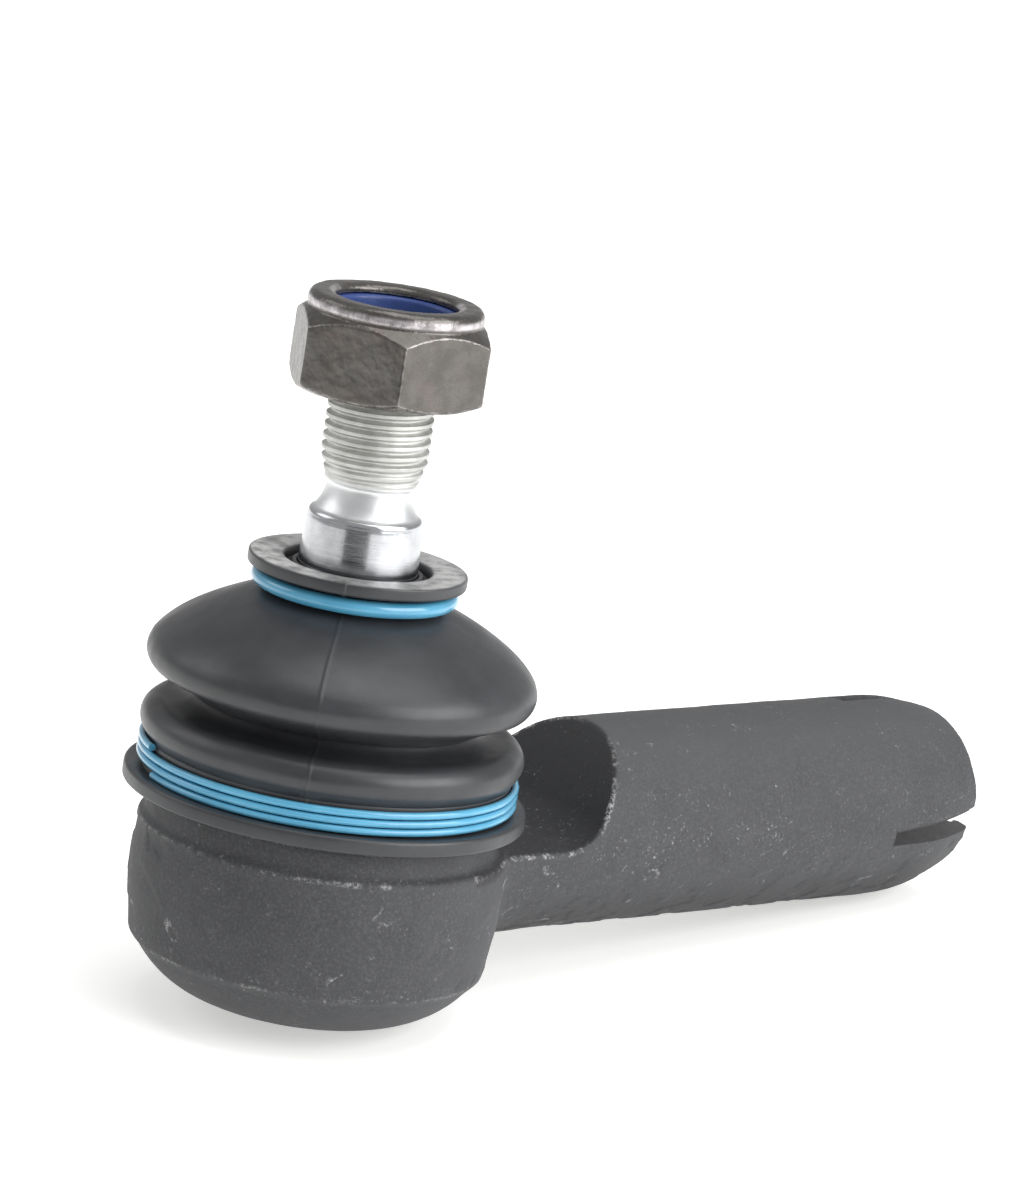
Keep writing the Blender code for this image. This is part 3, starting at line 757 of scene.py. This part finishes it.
def rough_skin(mesh):
    """Give the forging its uneven skin, a faint parting line and shallow scale marks on the bowl."""
    co = points_of(mesh)
    x, y, z = co.T
    wall = bowl_wall(x, y) * smoothstep(z, 5.2, 6.4) * fade(z, 15.5, 17.0)
    rise = 0.045 * grain(co, 8.0) + 0.01 * grain(co, 1.1, 2, 3.7)
    rise += 0.10 * wall * (smoothstep(grain(co, 9.0, 4, 11.3), 0.02, 0.09) - 0.5)
    side = smoothstep(np.abs(y), 6.5, 9.0) * smoothstep(x, 17, 20) * fade(x, 60, 70)
    rise += 0.10 * side * hill(z, BALL_Z, 0.4) * smoothstep(grain(co, 4.0, 2, 5.1), -0.3, 0.3)
    calm = 1 - 0.6 * fade(z, 4.5, 5.5)
    inside = np.hypot(y, z - BALL_Z) < 8.5
    rise[inside & (x > SLEEVE_END_X - 1)] = 0
    rise[(z > SHOULDER_Z - 0.5) & (np.hypot(x, y) < NECK_R + 0.5)] = 0
    move_points(mesh, co + normals_of(mesh) * (rise * calm - 0.03)[:, None])


def mark_wear_and_shade(mesh):
    """Say where the coating is rubbed or scuffed through, and where shade is painted."""
    co = points_of(mesh)
    x, y, z = co.T
    wall = bowl_wall(x, y) * smoothstep(z, 5.8, 6.6) * fade(z, 14.6, 15.6)
    scratches = hill(grain(co, 6.0, 3, 11.3), 0.05, 0.075)
    patches = smoothstep(grain(co, 4.5, 2, 44.0), 0.0, 0.2)
    store(mesh, "edge", np.maximum(sharpness(mesh, 0.028), 0.8 * scratches * wall * patches))
    handled = hill(z, BALL_Z + 0.5, 2.8) * smoothstep(x, 30, 36) * smoothstep(np.abs(y), 5, 8)
    handled *= smoothstep(grain(co, 7.0, 3, 21.0), -0.35, 0.3)
    lines = 0.7 * hill(z, TRIM_Z, 0.9) + 0.8 * hill(z, BOWL_EDGE[1], 0.7)
    lines *= fade(x, 30, 34)
    knocks = 0.8 * smoothstep(grain(co, 4.0, 3, 33.0), 0.22, 0.45)
    store(mesh, "scuffs", np.clip(handled + lines + knocks, 0, 1))
    # Painted shade: darker in the scoop under the boot and on the shank's underside
    out = np.hypot(x, y)
    profile = np.array(scoop_outline()[1:-2])
    scoop_r = np.interp(z, profile[:, 1], profile[:, 0])
    scooped = smoothstep(out, NECK_R + 0.5, NECK_R + 1.2) * fade(out - scoop_r, 0.12, 0.35)
    scooped *= smoothstep(z, SCOOP_FLOOR_Z - 0.25, SCOOP_FLOOR_Z - 0.05) * (x > 5)
    below = fade(z, 6.5, 12.5) * smoothstep(x, 17, 22)
    store(mesh, "hollow", np.maximum(scooped, below))


def press_prong_in(mesh):
    """Bend one prong of the slotted end a little towards the axis, and open the cut beside it."""
    co = points_of(mesh)
    angle = np.degrees(np.arctan2(co[:, 2] - BALL_Z, co[:, 1])) % 360
    chosen = (angle > BENT_PRONG[0]) & (angle < BENT_PRONG[1]) & (co[:, 0] > SLOT_START_X)
    along = (co[chosen, 0] - SLOT_START_X) / (SLEEVE_END_X - SLOT_START_X)
    middle = math.radians(sum(BENT_PRONG) / 2)
    co[chosen, 1] -= PRONG_BEND * math.cos(middle) * along**2
    co[chosen, 2] -= PRONG_BEND * math.sin(middle) * along**2
    cut = BENT_PRONG[0]
    beside = (angle > cut - 40) & (angle <= cut) & (co[:, 0] > SLOT_START_X)
    along = (co[beside, 0] - SLOT_START_X) / (SLEEVE_END_X - SLOT_START_X)
    co[beside, 2] += CUT_OPENING * (along - 0.25) * smoothstep(angle[beside], cut - 40, cut - 8)
    move_points(mesh, co)


def darken_cuts(mesh):
    """Paint the walls of the saw cuts with shade as dark as the painted shade in the scoop."""
    x, y, z = points_of(mesh).T
    hollow = np.empty(len(x), dtype=np.float32)
    mesh.attributes["hollow"].data.foreach_get("value", hollow)
    for angle in map(math.radians, SLOT_ANGLES):
        off_middle = np.abs((z - BALL_Z) * math.cos(angle) - y * math.sin(angle))
        hollow[(off_middle < SLOT_WIDTH / 2 + 0.01) & (x > SLOT_START_X - 0.01)] = 1
    mesh.attributes["hollow"].data.foreach_set("value", hollow)


def keep_in_box(mesh, low, high):
    """Hold every point inside a box."""
    co = points_of(mesh)
    move_points(mesh, np.clip(co, np.array(low), np.array(high)))


def make_housing():
    """The forging: bowl, collar, scooped shank, threaded and slotted sleeve."""
    round_about = even(144)
    housing = revolve("housing_forging", neck_outline(), round_about)
    bowl = revolve("bowl", bowl_outline(), round_about)
    bowl.data.transform(Matrix.Translation((FORGING_SHIFT, 0, 0)))
    combine(housing, bowl, "UNION")
    shank = along_sleeve(revolve("shank", shank_outline(), even(120)))
    combine(shank, revolve("scoop", scoop_outline(), round_about), "DIFFERENCE")
    combine(housing, shank, "UNION")
    remesh(housing, FORGING_VOXEL)
    mesh = housing.data
    co = points_of(mesh)
    root = hill(np.hypot(co[:, 0] - FORGING_SHIFT, co[:, 1]), WALL_R, 2.2) * (co[:, 0] > 6)
    fill_hollows(mesh, root * (co[:, 2] < SHOULDER_Z - 1), 40)
    relax(mesh, 3)
    mark_wear_and_shade(mesh)
    rough_skin(mesh)
    keep_in_box(mesh, HOUSING_LOW, HOUSING_HIGH)
    combine(housing, revolve("seat_bore", seat_bore_outline(), round_about), "DIFFERENCE")
    combine(housing, tap(), "DIFFERENCE")
    for angle in SLOT_ANGLES:
        combine(housing, saw(angle), "DIFFERENCE")
    darken_cuts(housing.data)
    press_prong_in(housing.data)
    return housing


def mark_bores(mesh):
    """Give the faces inside the bores the second material."""
    for face in mesh.polygons:
        x, y, z = face.center / MM
        off_axis = math.hypot(y, z - BALL_Z)
        in_sleeve = off_axis < BORE_MAJOR_R + 0.9 and BORE_START_X - 4 < x < SLEEVE_END_X - 0.01
        in_seat = math.hypot(x, y) < SEAT_BORE_R + 0.05 and SEAT_FLOOR_Z - 0.05 < z < COLLAR_TOP_Z - 0.05
        face.material_index = 1 if in_sleeve or in_seat else 0


# -------------------------------------------------------------------- boot


def boot_outline():
    """The bellows: up its outside from the foot lip, over the top lip and down its inside."""
    top = BOOT_HIGH.z
    return rounded(
        [
            (COLLAR_R + 0.3, BOOT_LOW.z, 0),
            (LIP_R, BOOT_LOW.z, 0.25),
            (LIP_R, LOWER_RING_LOW.z + 0.1, 0.45),
            (GROOVE_R, LOWER_RING_LOW.z + 0.02, 0.1),
            (GROOVE_R, GROOVE_TOP_Z, 0.1),
        ]
    )[1:-1] + [
        (GROOVE_R, GROOVE_TOP_Z),
        *arc(LOWER_BULGE, LOWER_BULGE_ROUND_R, -48, 84, 14),
        *bend((16.1, 27.83), (WAIST_R + 0.5, 27.7), (WAIST_R, WAIST_Z + 0.1), 8),
        *bend((WAIST_R + 0.05, WAIST_Z + 0.25), (15.6, 30.1), (17.2, 30.75), 6),
        *arc(UPPER_BULGE, UPPER_BULGE_ROUND_R, -52, 22, 10),
        *bend((18.0, 33.6), (16.5, 36.1), (9.9, 39.0), 16),
        *bend((9.5, 39.16), (8.7, 39.45), (TOP_GROOVE_R, 39.75), 4),
        (TOP_GROOVE_R, TOP_LIP_BOTTOM_Z - 0.15),
        (TOP_GROOVE_R + 0.15, TOP_LIP_BOTTOM_Z),
        *bend((TOP_LIP_R - 0.3, TOP_LIP_BOTTOM_Z), (TOP_LIP_R, TOP_LIP_BOTTOM_Z), (TOP_LIP_R, 41.95), 4),
        *bend((TOP_LIP_R, top - 0.3), (TOP_LIP_R, top), (TOP_LIP_R - 0.3, top), 5),
        (8.6, top - 0.02),
        *bend((7.3, top - 0.1), (6.95, top - 0.12), (6.85, top - 0.45), 4),
        (6.75, top - 1.0),
        (6.35, top - 1.05),
        *bend((6.25, top - 0.8), (6.15, top - 0.5), (5.95, top - 0.5), 4),
        (5.75, top - 0.6),
        (5.8, 40.5),
        (6.2, 38.6),
        *bend((8.0, 38.0), (15.4, 35.0), (BULGE_R - 1.6, BULGE_Z), 10),
        *bend((BULGE_R - 1.7, 32.2), (15.9, 31.9), (15.2, 31.3), 4),
        (WAIST_R - 1.6, WAIST_Z + 0.2),
        (WAIST_R - 1.6, WAIST_Z - 0.6),
        (15.2, 26.6),
        (16.3, 25.6),
        (COLLAR_R + 0.3, 24.4),
        (COLLAR_R + 0.3, BOOT_LOW.z),
    ]


def boot_angles():
    """Angles round the boot, close together at the mould's two parting lines."""
    angles = set(round(a, 6) for a in even(200))
    for side in PARTING_AZIMUTHS:
        angles |= {round(math.radians(side + step * 0.35), 6) for step in range(-5, 6)}
    return sorted(angles)


def make_boot():
    """The bellows, with a thin moulding line on each side."""
    boot = revolve("boot_bellows", boot_outline(), boot_angles())
    mesh = boot.data
    co = points_of(mesh)
    x, y, z = co.T
    radius = np.hypot(x, y)
    angle = np.degrees(np.arctan2(y, x))
    line = np.zeros(len(co))
    for side in PARTING_AZIMUTHS:
        away = np.radians(np.abs((angle - side + 180) % 360 - 180)) * radius
        line += hill(away, 0, 0.16)
    outer = (radius > 8.6) & (z > BOOT_LOW.z + 1.5)
    line *= 0.08 * outer * fade(radius, BULGE_R - 0.28, BULGE_R + 0.07)
    wobble = 0.05 * grain(co, 9.0, 2) * outer
    move_points(mesh, co + normals_of(mesh) * (line + wobble)[:, None])
    keep_in_box(mesh, BOOT_LOW, BOOT_HIGH)
    level = smoothstep(z, BOOT_HIGH.z - 0.25, BOOT_HIGH.z - 0.1)
    level *= fade(radius, TOP_LIP_R - 0.3, TOP_LIP_R - 0.02)
    # Painted sheen: the lip's bloom is paler at two opposite sides and palest at one of them
    along = np.cos(np.radians(angle - PAINTED_LIGHT_AZIMUTH))
    paleness = 0.36 + 0.40 * along**2 + 0.24 * np.maximum(along, 0)
    store(mesh, "lip_top", paleness * level)
    return boot


# ------------------------------------------------------------------- rings


def make_lower_ring():
    """Three close turns of wire round the boot's foot, whose upper end stands a little off it."""
    wire_r = 0.36
    coil_r = LOWER_RING_HIGH.x - wire_r
    pitch = 0.8
    turns = 3
    steps = 120
    curve = bpy.data.curves.new("lower_ring", "CURVE")
    curve.dimensions = "3D"
    curve.bevel_depth = wire_r
    curve.bevel_resolution = 5
    curve.use_fill_caps = True
    spline = curve.splines.new("POLY")
    count = turns * steps
    spline.points.add(count - 1)
    start_z = LOWER_RING_LOW.z + wire_r
    for index, point in enumerate(spline.points):
        angle = math.radians(WIRE_START) + 2 * math.pi * index / steps
        climb = pitch * index / steps
        radius = coil_r - 0.06 * (1 - smoothstep(index, count - 12, count))
        point.co = (radius * math.cos(angle), radius * math.sin(angle), start_z + climb, 1)
    ring = bpy.data.objects.new("lower_ring", curve)
    bpy.context.scene.collection.objects.link(ring)
    bpy.context.view_layer.update()
    graph = bpy.context.evaluated_depsgraph_get()
    mesh = bpy.data.meshes.new_from_object(ring.evaluated_get(graph))
    bpy.data.objects.remove(ring, do_unlink=True)
    coil = bpy.data.objects.new("boot_foot_coil", mesh)
    bpy.context.scene.collection.objects.link(coil)
    return coil


def make_upper_ring():
    """One round ring under the boot's top lip."""
    ring_r = (UPPER_RING_HIGH.z - UPPER_RING_LOW.z) / 2
    coil_r = UPPER_RING_HIGH.x - ring_r
    middle = (UPPER_RING_HIGH.z + UPPER_RING_LOW.z) / 2
    return revolve("boot_top_ring", arc((coil_r, middle), ring_r, 0, 345, 23), even(180))


# ------------------------------------------------------------ stud and nut


def stud_outline():
    """Ball, neck, tapered seat with its shoulder, undercut, and the blank that the thread is cut in."""
    flat = math.degrees(math.acos(3.2 / BALL_R))
    neck_r = 5.0
    neck = math.degrees(math.acos(neck_r / BALL_R))
    ball_top = BALL_Z + math.sqrt(BALL_R**2 - neck_r**2)
    cone_start_z = 38.0
    cone_start_r = CONE_END_R + CONE_SLOPE * (CONE_END_Z - cone_start_z)
    rows = int((STUD_HIGH.z - 1 - THREAD_START_Z) / THREAD_PITCH * 24)
    step = (STUD_HIGH.z - 1 - THREAD_START_Z) / rows
    edge = (CONE_END_R - 0.35, CONE_END_Z + 0.15)
    return [
        (0, STUD_LOW.z),
        *arc((0, BALL_Z), BALL_R, -flat, neck - 5, 40),
        *bend((neck_r + 0.3, ball_top + 0.15), (neck_r, ball_top + 0.5), (neck_r, ball_top + 1.4), 5),
        (neck_r, cone_start_z - 1.5),
        (cone_start_r, cone_start_z),
        (cone_start_r - CONE_SLOPE * 0.2, cone_start_z + 0.2),
        (CONE_END_R + CONE_SLOPE * 0.9, CONE_END_Z - 0.9),
        (CONE_END_R + CONE_SLOPE * 0.6, CONE_END_Z - 0.6),
        *bend((CONE_END_R, CONE_END_Z - 0.5), (CONE_END_R, CONE_END_Z), edge, 6),
        *bend((CONE_END_R - 0.5, CONE_END_Z + 0.25), (4.2, 48.6), (UNDERCUT_R, 50.0), 14),
        *bend((UNDERCUT_R, 50.2), (UNDERCUT_R, 50.4), (UNDERCUT_R + 0.3, 50.55), 4),
        *[(THREAD_R, THREAD_START_Z + step * row) for row in range(rows + 1)],
        (THREAD_R - 0.15, STUD_HIGH.z - 0.75),
        (3.8, STUD_HIGH.z),
        (0, STUD_HIGH.z),
    ]


def make_stud():
    """The stud, with a fine right-hand thread."""
    stud = revolve("stud_turned", stud_outline(), even(160))
    mesh = stud.data
    co = points_of(mesh)
    radius = np.hypot(co[:, 0], co[:, 1])
    z = co[:, 2]
    threaded = (z > THREAD_START_Z - 0.01) & (radius > THREAD_R - 0.2)
    runout = smoothstep(z, THREAD_START_Z, THREAD_START_Z + 2.6)
    crest = RUNOUT_R + (THREAD_R - RUNOUT_R) * runout
    root = RUNOUT_ROOT_R + (THREAD_ROOT_R - RUNOUT_ROOT_R) * runout
    height = thread_height(co, THREAD_PITCH) * smoothstep(z, THREAD_START_Z, THREAD_START_Z + 0.4)
    chamfer = 0.9 * np.maximum(z - STUD_HIGH.z + 1.2, 0)
    wanted = np.minimum(root + (crest - root) * height, THREAD_R - chamfer)
    co[threaded, :2] *= (wanted[threaded] / radius[threaded])[:, None]
    move_points(mesh, co)
    return stud


def nut_outline():
    """The nut as turned: chamfered corners, rolled rim, pocket and bore."""
    low, top = NUT_LOW.z, NUT_HIGH.z
    wide = NUT_CORNER_R + 0.4
    pocket_r = INSERT_HIGH.x + 0.05
    return [
        (5.65, low),
        (8.2, low),
        (wide, low + 1.0),
        (wide, NUT_CORNER_Z),
        (8.25, RIM_Z),
        *bend((8.15, RIM_Z + 0.05), (8.0, RIM_Z + 0.1), (8.12, RIM_Z + 0.25), 3),
        (8.2, RIM_Z + 0.35),
        (8.22, RIM_Z + 0.65),
        *bend((8.2, 67.0), (8.15, top - 0.05), (7.4, top), 7),
        *bend((6.6, top), (5.8, top), (5.7, top - 0.5), 5),
        (5.7, INSERT_HIGH.z + 0.05),
        (pocket_r, INSERT_HIGH.z + 0.05),
        (pocket_r, INSERT_LOW.z - 0.05),
        (5.1, INSERT_LOW.z - 0.05),
        (5.1, low + 0.55),
    ]


def make_nut():
    """The hexagonal nut, its edges a little rounded."""
    nut = revolve("lock_nut_hexagon", nut_outline(), even(144))
    hexagon = [math.radians(NUT_CLOCKING + 60 * side) for side in range(6)]
    prism = revolve("prism", [(0, 50), (NUT_CORNER_R, 50), (NUT_CORNER_R, 80), (0, 80)], hexagon)
    combine(nut, prism, "INTERSECT")
    remesh(nut, NUT_VOXEL)
    mesh = nut.data
    relax(mesh, 3)
    co = points_of(mesh)
    x, y, z = co.T
    radius = np.hypot(x, y)
    # Painted highlight: a band round the rim's outer edge, and glints on the mouth's edge at two
    # opposite sides
    rim = smoothstep(z, RIM_Z + 0.35, RIM_Z + 0.5) * fade(z, RIM_Z + 0.85, RIM_Z + 1.2)
    rim *= smoothstep(radius, 7.8, 8.0)
    turned = np.cos(np.arctan2(y, x) - math.radians(PAINTED_LIGHT_AZIMUTH)) ** 2
    mouth = fade(radius, 6.1, 6.5) * smoothstep(z, NUT_HIGH.z - 0.55, NUT_HIGH.z - 0.3)
    store(mesh, "edge", sharpness(mesh, 0.012))
    store(mesh, "rim", np.maximum(rim, mouth * smoothstep(turned, 0.8, 0.95)))
    dents = 0.03 * grain(co, 1.3, 3) + 0.02 * grain(co, 3.2, 2, 4.0)
    move_points(mesh, co + normals_of(mesh) * (dents - 0.01)[:, None])
    keep_in_box(mesh, NUT_LOW, NUT_HIGH)
    return nut


def make_insert():
    """The nylon ring inside the rim, which grips the thread."""
    low, high, outer = INSERT_LOW.z, INSERT_HIGH.z, INSERT_HIGH.x
    corners = [
        (5.2, low, 0.15),
        (outer, low, 0.15),
        (outer, high, 0.15),
        (5.2, high, 0.35),
    ]
    return revolve("lock_nut_nylon", rounded(corners), even(120))


# ------------------------------------------------------------------- stage


def aim(obj, place_m, target_m):
    """Stand an object at a place, facing a target."""
    obj.location = place_m
    obj.rotation_euler = (Vector(target_m) - Vector(place_m)).to_track_quat("-Z", "Y").to_euler()


def direction(azimuth, elevation):
    """A unit vector; azimuth 0 is -Y, and 90 is +X."""
    a, e = math.radians(azimuth), math.radians(elevation)
    return Vector((math.sin(a) * math.cos(e), -math.cos(a) * math.cos(e), math.sin(e)))


def softbox(name, azimuth, elevation, distance, size, power):
    """A large rectangular light, aimed at the part."""
    data = bpy.data.lights.new(name, "AREA")
    data.shape = "RECTANGLE"
    data.size, data.size_y = size
    data.energy = power
    light = bpy.data.objects.new(name, data)
    bpy.context.scene.collection.objects.link(light)
    target = Vector((0.02, 0, 0.03))
    aim(light, target + direction(azimuth, elevation) * distance, target)


def add_camera():
    """The main view: a long lens, slightly above the part and rolled a little."""
    azimuth, elevation, roll = -44.29, 12.56, math.radians(8.82)
    back = direction(azimuth, elevation)
    right = Vector((math.cos(math.radians(azimuth)), math.sin(math.radians(azimuth)), 0))
    up = back.cross(right)
    rolled_right = right * math.cos(roll) + up * math.sin(roll)
    rolled_up = up * math.cos(roll) - right * math.sin(roll)
    data = bpy.data.cameras.new("camera")
    data.lens = 187.17
    data.sensor_width = 36
    data.clip_start = 0.01
    camera = bpy.data.objects.new("camera", data)
    matrix = Matrix((rolled_right, rolled_up, back)).transposed().to_4x4()
    matrix.translation = Vector((0.01953, 0, 0.03833)) + back * 0.5915
    camera.matrix_world = matrix
    bpy.context.scene.collection.objects.link(camera)
    bpy.context.scene.camera = camera


def add_floor():
    """A pale glowing table that the bowl's underside and the sleeve's end both touch."""
    bm = bmesh.new()
    bmesh.ops.create_grid(bm, x_segments=1, y_segments=1, size=6.0)
    floor = mesh_object("floor", bm)
    slope = math.atan2(5.5, 65.0)  # from under the bowl up to under the sleeve's end
    low_point = Vector((9.0, 0, 0.05)) * MM
    floor.matrix_world = Matrix.Translation(low_point) @ Matrix.Rotation(-slope, 4, "Y")
    finish = Finish("floor_paper")
    colour = finish.blend(finish.noise(40.0, 3.0), (0.84, 0.84, 0.83), (0.88, 0.88, 0.875))
    paper = finish.shade(
        base_color=colour,
        roughness=0.6,
        emission_color=(1.0, 1.0, 0.985),
        emission_strength=0.47,
    )
    floor.data.materials.append(paper)


def add_flag():
    """A black flag in front of the part, which only its shiny surfaces see."""
    bm = bmesh.new()
    bmesh.ops.create_grid(bm, x_segments=1, y_segments=1, size=0.5)
    flag = mesh_object("flag", bm)
    flag.scale = (0.27, 0.14, 1)
    aim(flag, direction(-52, 0) * 0.30, (0, 0, 0.045))
    finish = Finish("flag_cloth")
    cloth = finish.blend(finish.noise(5.0), (0.02, 0.02, 0.02), (0.03, 0.03, 0.03))
    flag.data.materials.append(finish.shade(base_color=cloth, roughness=0.9))
    flag.visible_camera = False
    flag.visible_diffuse = False
    flag.visible_shadow = False


def add_light():
    """Soft light from a room that is darker than the table, with large softboxes."""
    world = bpy.data.worlds.new("room")
    world.use_nodes = True
    background = world.node_tree.nodes["Background"]
    background.inputs["Color"].default_value = (1.0, 1.0, 1.0, 1.0)
    background.inputs["Strength"].default_value = 0.45
    bpy.context.scene.world = world
    softbox("key", 20, 28, 0.9, (0.85, 0.6), 7.6)
    softbox("fill", -140, 30, 0.9, (0.5, 0.5), 1.2)
    softbox("top", 10, 80, 0.9, (0.8, 0.8), 4.4)


# ------------------------------------------------------------------- build


def build():
    """Make and place every piece."""
    zinc = zinc_finish()
    blue = wire_finish()
    rubber = rubber_finish()
    forging, bore = forging_finish(), bore_finish()
    housing = make_housing()
    place(housing, "housing", forging, "black_forging", "housing", crease=50, extra=[bore])
    mark_bores(housing.data)
    boot = place(make_boot(), None, rubber, "black_rubber", "boot")
    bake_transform(boot)
    place(make_lower_ring(), "boot", blue, "blue_coated_wire", "boot_lower_ring")
    place(make_upper_ring(), "boot_collar", blue, "blue_coated_wire", "boot_upper_ring")
    place(make_stud(), "stud", zinc, "zinc_plated_steel", "ball_stud")
    place(make_nut(), "nut", phosphate_finish(), "phosphated_steel", "lock_nut", crease=60)
    place(make_insert(), "nut", nylon_finish(), "blue_nylon", "lock_nut_insert")
    acetal, spring = acetal_finish(), spring_finish()
    for node, material in (
        ("lower_seat", acetal),
        ("upper_seat", acetal),
        ("preload_spring", spring),
        ("closing_ring", spring),
    ):
        frame["nodes"][node].data.materials.clear()
        frame["nodes"][node].data.materials.append(material)


build()
add_floor()
add_flag()
add_light()
add_camera()
bpy.context.scene.view_settings.view_transform = "Standard"
